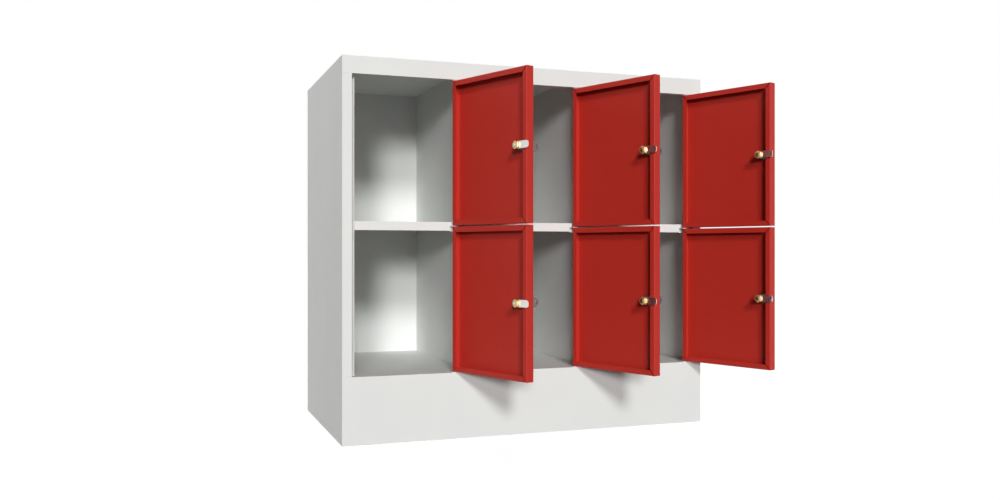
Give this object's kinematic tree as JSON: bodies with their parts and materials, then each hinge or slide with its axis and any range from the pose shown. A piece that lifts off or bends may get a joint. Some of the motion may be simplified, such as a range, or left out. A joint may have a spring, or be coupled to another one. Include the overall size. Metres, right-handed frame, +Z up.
{
  "type": "compartment locker",
  "caption": "Low steel locker on a plinth with compartments for phones; folded red doors stand open on pin hinges, each with a turning cam lock and a key that pulls out.",
  "frame": {"origin": "on the floor plane at the middle of the cabinet's bottom front edge", "axes": "+X to the cabinet's right as seen from the front, +Y from the front to the back, +Z up"},
  "size_m": [0.9877, 0.7382, 0.855],
  "materials": {
    "body_paint": "light grey powder coat, semi-matt",
    "door_paint": "red powder coat, semi-matt",
    "nickel": "nickel-plated, satin",
    "zinc": "bright zinc plate",
    "brass": "turned brass",
    "key_steel": "nickel-plated, worn on the edges",
    "pin_steel": "plain turned steel"
  },
  "bodies": {
    "cabinet": {"left_side_panel": "body_paint", "right_side_panel": "body_paint", "top_panel": "body_paint", "back_panel": "body_paint", "bottom_panel": "body_paint", "plinth_panel": "body_paint", "partition_left": "body_paint", "partition_right": "body_paint", "mullion_left": "body_paint", "mullion_right": "body_paint", "shelf_left": "body_paint", "shelf_middle": "body_paint", "shelf_right": "body_paint", "hinge_brackets": "body_paint", "hinge_pins": "pin_steel"},
    "door_lower_left": {"door_panel_lower_left": "door_paint", "lock_barrel_lower_left": "nickel", "barrel_nut_lower_left": "zinc"},
    "lock_lower_left": {"lock_plug_lower_left": "nickel", "lock_cam_lower_left": "zinc", "cam_nut_lower_left": "brass"},
    "key_lower_left_body": {"key_lower_left": "key_steel"},
    "door_lower_middle": {"door_panel_lower_middle": "door_paint", "lock_barrel_lower_middle": "nickel", "barrel_nut_lower_middle": "zinc"},
    "lock_lower_middle": {"lock_plug_lower_middle": "nickel", "lock_cam_lower_middle": "zinc", "cam_nut_lower_middle": "brass"},
    "key_lower_middle_body": {"key_lower_middle": "key_steel"},
    "door_lower_right": {"door_panel_lower_right": "door_paint", "lock_barrel_lower_right": "nickel", "barrel_nut_lower_right": "zinc"},
    "lock_lower_right": {"lock_plug_lower_right": "nickel", "lock_cam_lower_right": "zinc", "cam_nut_lower_right": "brass"},
    "key_lower_right_body": {"key_lower_right": "key_steel"},
    "door_upper_left": {"door_panel_upper_left": "door_paint", "lock_barrel_upper_left": "nickel", "barrel_nut_upper_left": "zinc"},
    "lock_upper_left": {"lock_plug_upper_left": "nickel", "lock_cam_upper_left": "zinc", "cam_nut_upper_left": "brass"},
    "key_upper_left_body": {"key_upper_left": "key_steel"},
    "door_upper_middle": {"door_panel_upper_middle": "door_paint", "lock_barrel_upper_middle": "nickel", "barrel_nut_upper_middle": "zinc"},
    "lock_upper_middle": {"lock_plug_upper_middle": "nickel", "lock_cam_upper_middle": "zinc", "cam_nut_upper_middle": "brass"},
    "key_upper_middle_body": {"key_upper_middle": "key_steel"},
    "door_upper_right": {"door_panel_upper_right": "door_paint", "lock_barrel_upper_right": "nickel", "barrel_nut_upper_right": "zinc"},
    "lock_upper_right": {"lock_plug_upper_right": "nickel", "lock_cam_upper_right": "zinc", "cam_nut_upper_right": "brass"},
    "key_upper_right_body": {"key_upper_right": "key_steel"}
  },
  "joints": [
    {"name": "door_lower_left_swing", "type": "hinge", "parent": "cabinet", "child": "door_lower_left", "pos_m": [-0.181, 0.006, 0.317], "axis": [0, 0, 1], "range_deg": [-110.5, 0]},
    {"name": "lock_lower_left_turn", "type": "hinge", "parent": "door_lower_left", "child": "lock_lower_left", "pos_m": [-0.09921, -0.19562, 0.317], "axis": [0.9367, 0.3502, 0], "range_deg": [0, 90]},
    {"name": "key_lower_left_pull", "type": "slide", "parent": "lock_lower_left", "child": "key_lower_left_body", "axis": [0.9367, 0.3502, 0], "range_m": [0, 0.03]},
    {"name": "door_lower_middle_swing", "type": "hinge", "parent": "cabinet", "child": "door_lower_middle", "pos_m": [0.119, 0.006, 0.317], "axis": [0, 0, 1], "range_deg": [-110.5, 0]},
    {"name": "lock_lower_middle_turn", "type": "hinge", "parent": "door_lower_middle", "child": "lock_lower_middle", "pos_m": [0.20079, -0.19562, 0.317], "axis": [0.9367, 0.3502, 0], "range_deg": [0, 90]},
    {"name": "key_lower_middle_pull", "type": "slide", "parent": "lock_lower_middle", "child": "key_lower_middle_body", "axis": [0.9367, 0.3502, 0], "range_m": [0, 0.03]},
    {"name": "door_lower_right_swing", "type": "hinge", "parent": "cabinet", "child": "door_lower_right", "pos_m": [0.419, 0.006, 0.317], "axis": [0, 0, 1], "range_deg": [-110.5, 0]},
    {"name": "lock_lower_right_turn", "type": "hinge", "parent": "door_lower_right", "child": "lock_lower_right", "pos_m": [0.50079, -0.19562, 0.317], "axis": [0.9367, 0.3502, 0], "range_deg": [0, 90]},
    {"name": "key_lower_right_pull", "type": "slide", "parent": "lock_lower_right", "child": "key_lower_right_body", "axis": [0.9367, 0.3502, 0], "range_m": [0, 0.03]},
    {"name": "door_upper_left_swing", "type": "hinge", "parent": "cabinet", "child": "door_upper_left", "pos_m": [-0.181, 0.006, 0.649], "axis": [0, 0, 1], "range_deg": [-110.5, 0]},
    {"name": "lock_upper_left_turn", "type": "hinge", "parent": "door_upper_left", "child": "lock_upper_left", "pos_m": [-0.09921, -0.19562, 0.649], "axis": [0.9367, 0.3502, 0], "range_deg": [0, 90]},
    {"name": "key_upper_left_pull", "type": "slide", "parent": "lock_upper_left", "child": "key_upper_left_body", "axis": [0.9367, 0.3502, 0], "range_m": [0, 0.03]},
    {"name": "door_upper_middle_swing", "type": "hinge", "parent": "cabinet", "child": "door_upper_middle", "pos_m": [0.119, 0.006, 0.649], "axis": [0, 0, 1], "range_deg": [-110.5, 0]},
    {"name": "lock_upper_middle_turn", "type": "hinge", "parent": "door_upper_middle", "child": "lock_upper_middle", "pos_m": [0.20079, -0.19562, 0.649], "axis": [0.9367, 0.3502, 0], "range_deg": [0, 90]},
    {"name": "key_upper_middle_pull", "type": "slide", "parent": "lock_upper_middle", "child": "key_upper_middle_body", "axis": [0.9367, 0.3502, 0], "range_m": [0, 0.03]},
    {"name": "door_upper_right_swing", "type": "hinge", "parent": "cabinet", "child": "door_upper_right", "pos_m": [0.419, 0.006, 0.649], "axis": [0, 0, 1], "range_deg": [-110.5, 0]},
    {"name": "lock_upper_right_turn", "type": "hinge", "parent": "door_upper_right", "child": "lock_upper_right", "pos_m": [0.50079, -0.19562, 0.649], "axis": [0.9367, 0.3502, 0], "range_deg": [0, 90]},
    {"name": "key_upper_right_pull", "type": "slide", "parent": "lock_upper_right", "child": "key_upper_right_body", "axis": [0.9367, 0.3502, 0], "range_m": [0, 0.03]}
  ]
}
